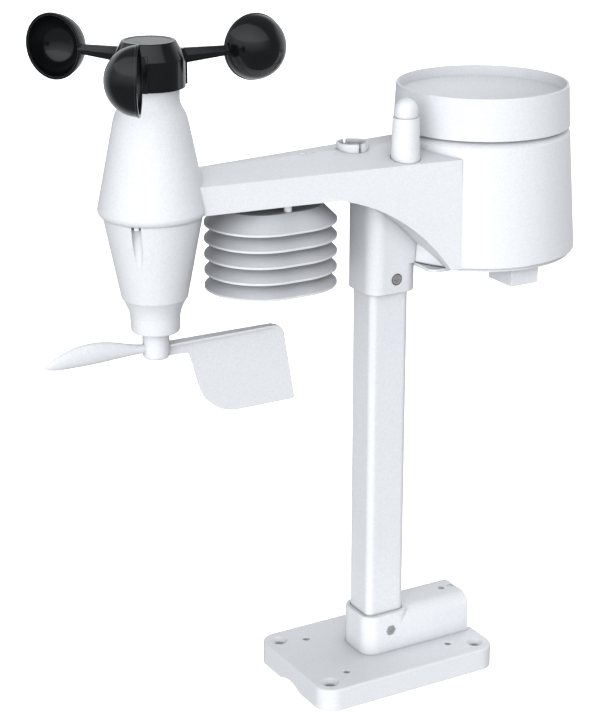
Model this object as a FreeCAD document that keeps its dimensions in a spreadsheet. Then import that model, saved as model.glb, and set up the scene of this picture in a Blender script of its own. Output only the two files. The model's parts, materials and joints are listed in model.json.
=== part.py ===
import FreeCAD, Part
import math
import os
import re

import Sketcher

Vector = FreeCAD.Vector
Rotation = FreeCAD.Rotation
Placement = FreeCAD.Placement

# Outdoor weather sensor: cup anemometer and wind vane at one end of an arm, tipping-bucket rain gauge
# at the other, temperature shield below the arm, all on a square pole in a screw-down base.
# Millimetres. Origin at the centre of the base's bolt pattern on its underside, +Z up,
# +X from the anemometer towards the rain gauge.

DIMENSIONS = {
    "Base": {
        "plate_length": 118.8, "plate_width": 80.2, "plate_height": 13.5, "plate_corner": 10.9,
        "plate_edge": 1.2, "plate_wall": 2.6, "plate_core": 13.5,
        "bolt_span_x": 99.6, "bolt_span_y": 59.3, "bolt_hole": 2.75, "bolt_sink": 5.1, "bolt_boss": 6.6,
        "pin_span_x": 69.9, "pin_span_y": 46.8, "pin_hole": 1.9, "pin_boss": 3.8,
        "saddle_radius": 20.0, "saddle_depth": 3.0,
        "socket_half_x": 15.3, "socket_half_y": 15.0, "socket_corner": 8.4, "socket_top": 37.6,
        "socket_x": -1.0, "barrel_end": 55.1, "barrel_edge": 1.0,
        "barrel_hole_x": 45.1, "barrel_hole": 2.0, "lug_x": 51.4, "lug_half": 1.6, "lug_depth": 0.5,
    },
    "Pole": {
        "pole_x": -1.0, "pole_half_x": 12.3, "pole_half_y": 11.1, "pole_corner": 3.8, "pole_wall": 1.8,
        "pole_foot": 8.0, "pole_top": 262.0, "pole_play": 0.3,
        "lock_x": 0.4, "lock_low_z": 27.2, "lock_high_z": 242.3, "lock_hole": 1.7,
        "lock_radius": 1.5, "head_radius": 2.8, "head_pocket": 3.4, "head_height": 1.8,
        "nut_flat": 2.75, "nut_height": 2.4, "nut_pocket": 2.9,
    },
    "Arm and gauge body": {
        "arm_start": -137.0, "arm_end": 28.0, "arm_half_start": 17.5, "arm_half_end": 35.1,
        "arm_bottom": 296.0, "arm_edge": 311.0, "arm_ridge": 316.2, "arm_flare": 4.2, "wall": 1.8,
        "arch_x": -66.6, "arch_z": 195.5, "arch_radius": 103.0,
        "gauge_x": 64.2, "gauge_bottom": 250.7, "gauge_shoulder": 316.6, "gauge_rim": 319.8,
        "gauge_r_bottom": 54.3, "gauge_r_top": 49.6, "gauge_mouth": 44.6, "gauge_ledge": 311.4,
        "neck_x": -0.5, "neck_half_x": 15.4, "neck_half_y": 14.9, "neck_corner": 7.9,
        "neck_bottom": 233.9, "neck_top": 288.0, "gusset_bottom": 250.4, "cover_skin": 2.0,
        "arm_cover_start": -111.0, "cover_gap": 0.2, "arrow_x": -48.5, "foot_start": 11.6, "foot_half": 33.0,
        "foot_corner": 4.0, "foot_depth": 2.0,
    },
    "Wind housing": {
        "wind_x": -140.0, "cone_top": 366.0, "cone_neck": 15.2, "cone_neck_z": 356.0,
        "cone_bend": 16.7, "cone_bend_z": 350.8, "cone_bend_r": 9.8,
        "cone_flare": 19.4, "cone_flare_z": 344.0, "cone_flare_r": 20.5, "cone_wide": 28.6, "cone_wide_z": 298.4,
        "cone_rim": 26.4, "cone_rim_z": 294.8, "tube_outer": 5.6, "tube_bore": 3.6, "tube_foot": 330.0,
        "lower_top": 294.5, "lower_wide": 25.9, "lower_knee": 17.5, "lower_knee_z": 251.0,
        "lower_waist": 13.3, "lower_waist_z": 241.0, "lower_foot": 12.9, "lower_foot_z": 232.0,
        "lower_floor": 236.5, "lower_recess": 11.2, "spigot_top": 298.5, "lower_tube_top": 260.0,
        "slot_radius": 21.4, "slot_half": 2.6, "slot_foot": 270.0, "slot_turn": 45.0, "slot_tab": 1.3,
    },
    "Rotor": {
        "hub_top": 385.2, "hub_top_r": 13.95, "hub_break": 376.8, "hub_r": 18.3, "hub_bottom": 361.8,
        "hub_wall": 1.7, "hub_boss": 4.2, "hub_boss_foot": 367.5, "cap_r": 11.6, "cap_depth": 1.2,
        "root_half": 2.4, "root_shift": -1.6, "root_inner": 16.6, "root_outer": 19.5, "root_play": 0.05,
        "cup_reach": 59.85, "cup_z": 376.45, "cup_r": 17.03, "cup_wall": 1.1, "cup_rim": 0.21, "cup_band": 3.0,
        "beam_start": 18.0, "beam_end": 46.0, "beam_shift": -1.6, "beam_flat": 0.7, "beam_half": 2.1,
        "beam_top": 380.0, "beam_low": 372.1, "beam_mid": 376.4, "beam_tip_top": 378.8,
        "beam_tip_low": 374.0,
        "shaft_r": 1.5, "shaft_foot": 322.0, "shaft_top": 383.0, "bush_outer": 3.57, "bush_bore": 1.55,
        "bush_flange": 4.8, "bush_length": 5.0, "magnet_r": 5.0, "magnet_height": 3.0,
    },
    "Vane": {
        "vane_hub_r": 7.2, "vane_hub_bottom": 216.8, "vane_hub_top": 234.5, "vane_hub_round": 2.2,
        "fin_half": 0.7, "fin_bottom": 178.6, "fin_root_z": 216.9, "fin_root_x": -120.9,
        "fin_toe_x": -109.8, "fin_heel_x": -56.4, "fin_top_x": -63.9, "fin_top_z": 222.5,
        "fin_belly": 24.0, "fin_small": 1.4, "fin_rear": 7.2,
        "flange_height": 1.3, "flange_root": 3.4, "flange_tip": 2.3, "flange_end_x": -69.4,
        "vane_shaft_foot": 219.5, "vane_shaft_top": 264.0, "encoder_r": 6.0, "encoder_height": 2.5,
    },
    "Rain gauge": {
        "lip_bottom": 320.7, "lip_r": 49.4, "lip_wall": 1.5, "rim_z": 343.7, "rim_r": 48.1,
        "bowl_z": 337.7, "bowl_skin": 1.6, "spout_r": 3.2, "spout_z": 311.5, "spout_foot": 303.0,
        "skirt_r": 44.2, "skirt_foot": 311.8,
        "floor_skin": 2.0, "floor_r": 52.1, "bay_half_x": 27.2, "bay_half_y": 22.4, "bay_top": 269.2,
        "bay_wall": 1.6, "drain_half_x": 9.05, "drain_inner": 24.6, "drain_outer": 46.1,
        "drain_foot": 238.0, "drain_wall": 1.5,
        "pivot_z": 281.5, "bucket_half_y": 28.0, "bucket_half_x": 12.0, "bucket_low": 277.5,
        "bucket_end_z": 287.5, "bucket_peak": 299.0, "bucket_skin": 1.2, "axle_r": 1.2,
        "ear_inner": 13.8, "ear_skin": 2.0, "stop_y": 19.0, "stop_half": 1.6, "stop_top": 276.9,
        "cell_r": 7.0, "cell_length": 49.2, "cell_pitch": 14.8, "cell_z": 261.0,
        "door_skin": 1.6, "door_lap": 4.4, "floor_screw_reach": 48.6, "floor_rim": 1.6, "floor_rim_depth": 1.8,
        "button_x": 103.0, "button_r": 2.2, "lamp_y": -9.0, "lamp_r": 1.5,
    },
    "Antenna and level": {
        "antenna_x": -0.2, "antenna_y": -22.2, "sleeve_foot": 308.6, "sleeve_top": 335.0,
        "sleeve_r": 8.1, "sleeve_top_r": 7.25, "sleeve_wall": 1.2, "dome_r": 6.3, "dome_z": 338.9,
        "level_x": -20.3, "level_r": 8.7, "level_wall": 1.3, "level_top": 319.4, "level_foot": 310.4,
        "level_slit": 0.9, "vial_r": 7.2, "vial_foot": 313.0, "vial_top": 317.4,
    },
    "Shield": {
        "shield_x": -70.7, "louvre_half_x": 36.3, "louvre_half_y": 30.2, "louvre_corner": 29.7,
        "louvre_first": 282.1, "louvre_pitch": 8.75, "louvre_rim": 1.1, "louvre_rise": 8.4,
        "louvre_angle": 45.0, "louvre_skin": 1.3, "vent_half_x": 15.0, "vent_half_y": 10.0,
        "post_r": 2.2, "post_hole": 2.22, "post_x": 21.5, "post_y": 19.0, "post_foot": 252.6,
    },
    "Boards": {
        "board": 1.6, "main_board_x": -37.0, "main_board_half_x": 18.0, "main_board_half_y": 20.0,
        "main_board_z": 301.0, "speed_board_z": 314.0, "speed_board_r": 22.8,
        "direction_board_z": 268.5, "direction_board_r": 18.6, "screw_r": 1.3, "screw_head": 2.6,
        "screw_head_h": 1.6, "screw_length": 9.0,
    },
}

document = FreeCAD.newDocument("weather_sensor")
sheet = document.addObject("Spreadsheet::Sheet", "dims")
ALIASES = set()
PIECES = []


def fill_sheet():
    """Write every driving dimension into the sheet: a note in column A, the aliased number in column B."""
    row = 1
    for group, entries in DIMENSIONS.items():
        sheet.set(f"A{row}", group)
        row += 1
        for alias, number in entries.items():
            sheet.set(f"A{row}", alias.replace("_", " "))
            sheet.set(f"B{row}", str(number))
            sheet.setAlias(f"B{row}", alias)
            ALIASES.add(alias)
            row += 1
    document.recompute()


def formula(text):
    """Turn a formula in plain aliases into one that other objects can use."""
    return re.sub(r"[a-z_]+[a-z]", lambda hit: f"dims.{hit[0]}" if hit[0] in ALIASES else hit[0], str(text))


def number(text):
    """The present value of a formula."""
    return float(sheet.evalExpression(str(text)))


def bind(item, path, text):
    item.setExpression(path, formula(text))


def bind_place(item, x="0", y="0", z="0", rotation=None):
    """Put an object at a place worked out from the sheet."""
    item.Placement = Placement(Vector(number(x), number(y), number(z)), rotation or Rotation())
    bind(item, "Placement.Base.x", x)
    bind(item, "Placement.Base.y", y)
    bind(item, "Placement.Base.z", z)


def piece(item, label):
    """Give a finished sub-part its name and list it for export."""
    item.Label = label
    PIECES.append(item)
    return item


# ---- Part primitives and booleans ---------------------------------------------------------------

AXES = {"z": Rotation(), "x": Rotation(Vector(0, 1, 0), 90), "y": Rotation(Vector(1, 0, 0), -90)}


def box(x, y, z):
    """A block between two formulas on each axis."""
    item = document.addObject("Part::Box", "Block")
    bind(item, "Length", f"({x[1]}) - ({x[0]})")
    bind(item, "Width", f"({y[1]}) - ({y[0]})")
    bind(item, "Height", f"({z[1]}) - ({z[0]})")
    bind_place(item, x[0], y[0], z[0])
    return item


def cylinder(radius, at, length, axis="z"):
    """A cylinder that starts at a point and runs along an axis."""
    item = document.addObject("Part::Cylinder", "Round")
    bind(item, "Radius", radius)
    bind(item, "Height", length)
    bind_place(item, *at, AXES[axis])
    return item


def cone(low_radius, high_radius, at, length):
    item = document.addObject("Part::Cone", "Taper")
    bind(item, "Radius1", low_radius)
    bind(item, "Radius2", high_radius)
    bind(item, "Height", length)
    bind_place(item, *at)
    return item


def sphere(radius, at):
    item = document.addObject("Part::Sphere", "Ball")
    bind(item, "Radius", radius)
    bind_place(item, *at)
    return item


def hexagon(flat, at, length, axis="z"):
    """A hexagonal prism with the given half distance across its flats."""
    item = document.addObject("Part::Prism", "Hexagon")
    item.Polygon = 6
    bind(item, "Circumradius", f"({flat}) / cos(30)")
    bind(item, "Height", length)
    bind_place(item, *at, AXES[axis])
    return item


def fuse(*items):
    item = document.addObject("Part::MultiFuse", "Union")
    item.Shapes = list(items)
    return item


def group(*items):
    """Several separate solids kept as one sub-part."""
    item = document.addObject("Part::Compound", "Group")
    item.Links = list(items)
    return item


def cut(base, *tools):
    item = document.addObject("Part::Cut", "Difference")
    item.Base = base
    item.Tool = tools[0] if len(tools) == 1 else fuse(*tools)
    return item


def tube(outer, inner, at, length, axis="z"):
    return cut(cylinder(outer, at, length, axis), cylinder(inner, at, length, axis))


# ---- PartDesign bodies --------------------------------------------------------------------------

def new_body(x="0", y="0", z="0", turn=0.0):
    body = document.addObject("PartDesign::Body", "Body")
    bind_place(body, x, y, z, Rotation(Vector(0, 0, 1), turn))
    return body


def new_sketch(body, plane, x="0", y="0", offset="0"):
    """A sketch on one of the body's own planes, moved in it by x and y and off it by offset."""
    sketch = body.newObject("Sketcher::SketchObject", "Sketch")
    support = [item for item in body.Origin.OriginFeatures if item.Role == f"{plane}_Plane"][0]
    sketch.AttachmentSupport = [(support, "")]
    sketch.MapMode = "FlatFace"
    bind(sketch, "AttachmentOffset.Base.x", x)
    bind(sketch, "AttachmentOffset.Base.y", y)
    bind(sketch, "AttachmentOffset.Base.z", offset)
    return sketch


def pin_point(sketch, edge, end, u, v):
    """Fix one end of an edge at a place worked out from the sheet."""
    for kind, text, axis in (("DistanceX", u, -2), ("DistanceY", v, -1)):
        if abs(number(text)) < 1e-9:
            sketch.addConstraint(Sketcher.Constraint("PointOnObject", edge, end, axis))
            continue
        index = sketch.addConstraint(Sketcher.Constraint(kind, -1, 1, edge, end, number(text)))
        bind(sketch, f"Constraints[{index}]", text)


def arc_between(start, end, radius):
    """The short arc from start to end; a positive radius turns left along the way."""
    chord = end - start
    side = Vector(-chord.y, chord.x, 0).normalize() * math.copysign(1, radius)
    rise = math.sqrt(radius ** 2 - (chord.Length / 2) ** 2)
    centre = start + chord * 0.5 + side * rise
    circle = Part.Circle(centre, Vector(0, 0, 1), abs(radius))
    first, last = (start, end) if radius > 0 else (end, start)
    angles = [math.atan2((spot - centre).y, (spot - centre).x) for spot in (first, last)]
    return Part.ArcOfCircle(circle, angles[0], angles[1])


def outline(sketch, *corners):
    """A closed outline. A corner is (u, v), or (u, v, radius) where an arc leads to it."""
    spots = [Vector(number(corner[0]), number(corner[1]), 0) for corner in corners]
    ends = []
    for index, corner in enumerate(corners):
        start, end = spots[index - 1], spots[index]
        if len(corner) == 2:
            edge = sketch.addGeometry(Part.LineSegment(start, end), False)
            ends.append((edge, 1, 2))
            continue
        radius = number(corner[2])
        edge = sketch.addGeometry(arc_between(start, end, radius), False)
        rule = sketch.addConstraint(Sketcher.Constraint("Radius", edge, abs(radius)))
        bind(sketch, f"Constraints[{rule}]", f"abs({corner[2]})")
        ends.append((edge, 1, 2) if radius > 0 else (edge, 2, 1))
    for index, corner in enumerate(corners):
        edge, _, finish = ends[index]
        following, begin, _ = ends[(index + 1) % len(ends)]
        sketch.addConstraint(Sketcher.Constraint("Coincident", edge, finish, following, begin))
        pin_point(sketch, edge, finish, corner[0], corner[1])
    return sketch


def rectangle(sketch, u, v):
    return outline(sketch, (u[0], v[0]), (u[1], v[0]), (u[1], v[1]), (u[0], v[1]))


def rounded_rectangle(sketch, half_u, half_v, corner, u="0", v="0"):
    """A rectangle with round corners about a centre."""
    left, right = f"({u}) - ({half_u})", f"({u}) + ({half_u})"
    low, high = f"({v}) - ({half_v})", f"({v}) + ({half_v})"
    round_off = f"({corner})"
    return outline(
        sketch,
        (f"{right} - {round_off}", low), (right, f"{low} + {round_off}", round_off),
        (right, f"{high} - {round_off}"), (f"{right} - {round_off}", high, round_off),
        (f"{left} + {round_off}", high), (left, f"{high} - {round_off}", round_off),
        (left, f"{low} + {round_off}"), (f"{left} + {round_off}", low, round_off),
    )


def circle(sketch, u, v, radius):
    ring = Part.Circle(Vector(number(u), number(v), 0), Vector(0, 0, 1), number(radius))
    edge = sketch.addGeometry(ring, False)
    rule = sketch.addConstraint(Sketcher.Constraint("Radius", edge, number(radius)))
    bind(sketch, f"Constraints[{rule}]", radius)
    pin_point(sketch, edge, 3, u, v)
    return sketch


def extrude(body, kind, sketch, length, both_ways=False, backwards=False, taper=None):
    """A pad or a pocket. A cut that takes nothing away, or a pad that adds nothing, is an error."""
    before = body.Shape.Volume if body.Tip else 0.0
    feature = body.newObject(f"PartDesign::{kind}", kind)
    feature.Profile = sketch
    feature.Type = 0
    feature.SideType = "Symmetric" if both_ways else "One side"
    feature.Reversed = backwards
    bind(feature, "Length", length)
    if taper is not None:
        bind(feature, "TaperAngle", taper)
    sketch.Visibility = False
    document.recompute()
    check_change(body, feature, kind == "Pad", before)
    return feature


def check_change(body, feature, grows, before):
    change = feature.Shape.Volume - before
    if (change > 0) != grows or abs(change) < 1e-3:
        raise RuntimeError(f"{body.Name} {feature.Name} changed the volume by {change:.3f}")


def pad(body, sketch, length, **options):
    return extrude(body, "Pad", sketch, length, **options)


def pocket(body, sketch, length, **options):
    return extrude(body, "Pocket", sketch, length, **options)


def turned(body, kind, sketch, axis="V_Axis"):
    """A full turn of a profile about an axis of its sketch, added or taken away."""
    before = body.Shape.Volume if body.Tip else 0.0
    feature = body.newObject(f"PartDesign::{kind}", kind)
    feature.Profile = sketch
    feature.ReferenceAxis = (sketch, [axis])
    feature.Angle = 360
    document.recompute()
    check_change(body, feature, kind == "Revolution", before)
    return feature


def revolve(body, sketch, **options):
    return turned(body, "Revolution", sketch, **options)


def groove(body, sketch, **options):
    return turned(body, "Groove", sketch, **options)


def loft(body, kind, *sketches):
    before = body.Shape.Volume if body.Tip else 0.0
    feature = body.newObject(f"PartDesign::{kind}Loft", "Loft")
    feature.Profile = sketches[0]
    feature.Sections = list(sketches[1:])
    feature.Ruled = True
    document.recompute()
    check_change(body, feature, kind == "Additive", before)
    return feature


def soften(body, kind, size, chosen):
    """Fillet or chamfer the edges that a test picks."""
    base = body.Tip
    names = [f"Edge{index + 1}" for index, edge in enumerate(base.Shape.Edges) if chosen(edge)]
    if not names:
        raise RuntimeError(f"{body.Name}: no edge to soften")
    feature = body.newObject(f"PartDesign::{kind}", kind)
    feature.Base = (base, names)
    bind(feature, "Radius" if kind == "Fillet" else "Size", size)
    document.recompute()
    return feature


def at_height(level, tolerance=0.01):
    """A test for edges that lie wholly at one height."""
    return lambda edge: abs(edge.BoundBox.ZMin - level) < tolerance and abs(edge.BoundBox.ZMax - level) < tolerance


def four_places(span_x, span_y):
    return [(f"{i} * {span_x} / 2", f"{j} * {span_y} / 2") for i in (-1, 1) for j in (-1, 1)]


# ---- Base and pole ------------------------------------------------------------------------------

def hexagon_outline(sketch, u, v, flat):
    """Six corners about a centre, two of them level with it."""
    corners = [(f"({u}) + {flat} / cos(30) * cos({turn})", f"({v}) + {flat} / cos(30) * sin({turn})")
               for turn in range(0, 360, 60)]
    return outline(sketch, *corners)


def lock_bores(body, level, nut_side):
    """A cross hole through a socket, with a hexagon pocket on one side and a round one on the other."""
    half = "socket_half_y"
    pocket(body, circle(new_sketch(body, "XZ"), "lock_x", level, "lock_hole"), f"2 * {half} + 4", both_ways=True)
    for side, depth in ((nut_side, "nut_height + 0.2"), (-nut_side, "head_height + 0.3")):
        sketch = new_sketch(body, "XZ", offset=f"{-side} * {half}")
        if side == nut_side:
            hexagon_outline(sketch, "lock_x", level, "nut_pocket")
        else:
            circle(sketch, "lock_x", level, "head_pocket")
        pocket(body, sketch, depth, backwards=side > 0)


def make_base_plate():
    body = new_body()
    plate = rounded_rectangle(new_sketch(body, "XY"), "plate_length / 2", "plate_width / 2", "plate_corner")
    pad(body, plate, "plate_height")
    soften(body, "Fillet", "plate_edge", at_height(number("plate_height")))
    for side in (1, -1):
        hollow = new_sketch(body, "XY")
        far_x, far_y = "(plate_length / 2 - plate_wall)", "(plate_width / 2 - plate_wall)"
        turn = "(plate_corner - plate_wall)"
        outline(hollow, (f"-{far_x}", f"{side} * plate_core"), (far_x, f"{side} * plate_core"),
                (far_x, f"{side} * ({far_y} - {turn})"),
                (f"{far_x} - {turn}", f"{side} * {far_y}", f"{side} * {turn}"),
                (f"{turn} - {far_x}", f"{side} * {far_y}"),
                (f"-{far_x}", f"{side} * ({far_y} - {turn})", f"{side} * {turn}"))
        pocket(body, hollow, "plate_height - plate_wall", backwards=True)
    for spans, boss in ((("bolt_span_x", "bolt_span_y"), "bolt_boss"), (("pin_span_x", "pin_span_y"), "pin_boss")):
        for x, y in four_places(*spans):
            pad(body, circle(new_sketch(body, "XY"), x, y, boss), "plate_height - 1")
    socket = new_sketch(body, "XY", offset="plate_height - 1")
    rounded_rectangle(socket, "socket_half_x", "socket_half_y", "socket_corner", u="socket_x")
    pad(body, socket, "socket_top - plate_height + 1")
    soften(body, "Fillet", "barrel_edge", at_height(number("socket_top")))
    barrel = new_sketch(body, "YZ", offset="socket_x")
    shoulder = "socket_top - socket_corner"
    outline(barrel, ("socket_half_y", "plate_height - 1"), ("socket_half_y", shoulder),
            ("socket_half_y - socket_corner", "socket_top", "socket_corner"),
            ("socket_corner - socket_half_y", "socket_top"), ("-socket_half_y", shoulder, "socket_corner"),
            ("-socket_half_y", "plate_height - 1"))
    pad(body, barrel, "barrel_end - socket_x")
    end = number("barrel_end")
    soften(body, "Fillet", "barrel_edge",
           lambda edge: abs(edge.BoundBox.XMin - end) < 0.01 and edge.BoundBox.ZMax > number("plate_height") + 1)
    upright = new_sketch(body, "XY", offset="socket_top")
    rounded_rectangle(upright, "pole_half_x + pole_play", "pole_half_y + pole_play", "pole_corner + pole_play",
                      u="pole_x")
    pocket(body, upright, "socket_top - pole_foot")
    way_out = "plate_length / 2 + 1"
    lying = new_sketch(body, "YZ", offset=way_out)
    rounded_rectangle(lying, "pole_half_y + pole_play", "pole_half_x + pole_play", "pole_corner + pole_play",
                      v="socket_top - plate_wall - pole_half_x - pole_play")
    pocket(body, lying, f"{way_out} - pole_x - pole_half_x - pole_play - plate_wall")
    for spans, hole in ((("bolt_span_x", "bolt_span_y"), "bolt_hole"), (("pin_span_x", "pin_span_y"), "pin_hole")):
        for x, y in four_places(*spans):
            pocket(body, circle(new_sketch(body, "XY", offset="plate_height"), x, y, hole), "plate_height + 1")
    pocket(body, circle(new_sketch(body, "XY", offset="socket_top"), "barrel_hole_x", "0", "barrel_hole"),
           "socket_top + 1")
    lug = rectangle(new_sketch(body, "XY", offset="socket_top"), ("lug_x - lug_half", "lug_x + lug_half"),
                    ("-lug_half", "lug_half"))
    pocket(body, lug, "lug_depth")
    saddle = circle(new_sketch(body, "YZ"), "0", "saddle_depth - saddle_radius", "saddle_radius")
    pocket(body, saddle, "plate_length + 2", both_ways=True)
    lock_bores(body, "lock_low_z", -1)
    soften(body, "Chamfer", "bolt_sink - bolt_hole", rim_test("plate_height", "bolt_hole"))
    soften(body, "Chamfer", "0.4", rim_test("plate_height", "pin_hole"))
    return piece(body, "base_plate")


def rim_test(level, radius):
    """A test for round edges of one radius that lie at one height."""
    def chosen(edge):
        is_round = hasattr(edge.Curve, "Radius") and abs(edge.Curve.Radius - number(radius)) < 0.01
        return is_round and at_height(number(level))(edge)
    return chosen


def make_pole():
    body = new_body()
    section = new_sketch(body, "XY", offset="pole_foot + 0.1")
    rounded_rectangle(section, "pole_half_x", "pole_half_y", "pole_corner", u="pole_x")
    rounded_rectangle(section, "pole_half_x - pole_wall", "pole_half_y - pole_wall", "pole_corner - pole_wall",
                      u="pole_x")
    pad(body, section, "pole_top - pole_foot - 0.1")
    for level in ("lock_low_z", "lock_high_z"):
        pocket(body, circle(new_sketch(body, "XZ"), "lock_x", level, "lock_hole"), "3 * pole_half_y", both_ways=True)
    return piece(body, "pole")


def cross_slots(at, radius, depth, axis="z"):
    """Two crossed slots for a screwdriver, sunk from a point back along an axis."""
    x, y, z = at
    narrow, wide = f"{radius} * 0.14", f"{radius} * 0.62"
    slots = []
    for first, second in ((narrow, wide), (wide, narrow)):
        if axis == "z":
            slots.append(box((f"{x} - {first}", f"{x} + {first}"), (f"{y} - {second}", f"{y} + {second}"),
                             (f"{z}", f"{z} + {depth}")))
        else:
            slots.append(box((f"{x} - {first}", f"{x} + {first}"), (f"{y}", f"{y} + {depth}"),
                             (f"{z} - {second}", f"{z} + {second}")))
    return slots


def lock_screw(level, head_side):
    """A pan-head screw across a socket, with its head on the +Y or the -Y side."""
    seat = "socket_half_y - head_height - 0.1"
    if head_side > 0:
        shank = cylinder("lock_radius", ("lock_x", "0.5 - socket_half_y", level), f"socket_half_y - 0.5 + {seat}", "y")
        head = cylinder("head_radius", ("lock_x", seat, level), "head_height", "y")
        slots = cross_slots(("lock_x", f"{seat} + head_height - 1", level), "head_radius", "1.2", "y")
    else:
        shank = cylinder("lock_radius", ("lock_x", f"-({seat})", level), f"socket_half_y - 0.5 + {seat}", "y")
        head = cylinder("head_radius", ("lock_x", f"-({seat}) - head_height", level), "head_height", "y")
        slots = cross_slots(("lock_x", f"-({seat}) - head_height - 0.2", level), "head_radius", "1.2", "y")
    return cut(fuse(shank, head), *slots)


def lock_nut(level, side):
    start = "socket_half_y - nut_height - 0.1" if side > 0 else "0.1 - socket_half_y"
    ring = hexagon("nut_flat", ("lock_x", start, level), "nut_height", "y")
    return cut(ring, cylinder("lock_radius + 0.02", ("lock_x", start, level), "nut_height", "y"))


def make_pole_locks():
    piece(group(lock_screw("lock_low_z", 1), lock_screw("lock_high_z", -1)), "pole_lock_screws")
    piece(group(lock_nut("lock_low_z", -1), lock_nut("lock_high_z", 1)), "pole_lock_nuts")


# ---- Main housing: cone, arm and gauge body in one moulding --------------------------------------

def arm_half(x, inset="0"):
    """Half width of the arm at a place along it."""
    return (f"arm_half_start + (({x}) - arm_start) * (arm_half_end - arm_half_start) / (arm_end - arm_start)"
            f" - ({inset})")


def arm_section(body, x, low, inset="0", flare="0"):
    """The arm's roofed cross-section, with its side walls flared out towards the foot."""
    half = arm_half(x, inset)
    return outline(new_sketch(body, "YZ", offset=x), (f"-({half} + {flare})", low), (f"{half} + {flare}", low),
                   (half, f"arm_edge - ({inset})"), ("0", f"arm_ridge - ({inset})"),
                   (f"-({half})", f"arm_edge - ({inset})"))


def arch_end(radius, level):
    return f"arch_x + sqrt(({radius}) ^ 2 - (({level}) - arch_z) ^ 2)"


def under_arch(sketch, radius, flat, low):
    """The region below the arm's underside: flat, then an arc down to the gauge body."""
    return outline(sketch, ("arm_start - 8", low), (arch_end(radius, low), low), (arch_end(radius, flat), flat, radius),
                   ("arm_start - 8", flat))


def cone_flank(inset):
    """The upper part of the wind housing's outline, set in by a wall."""
    return [(f"cone_flare - {inset}", "cone_flare_z"), (f"cone_bend - {inset}", "cone_bend_z", "cone_flare_r"),
            (f"cone_neck - {inset}", "cone_neck_z", "-cone_bend_r")]


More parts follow.
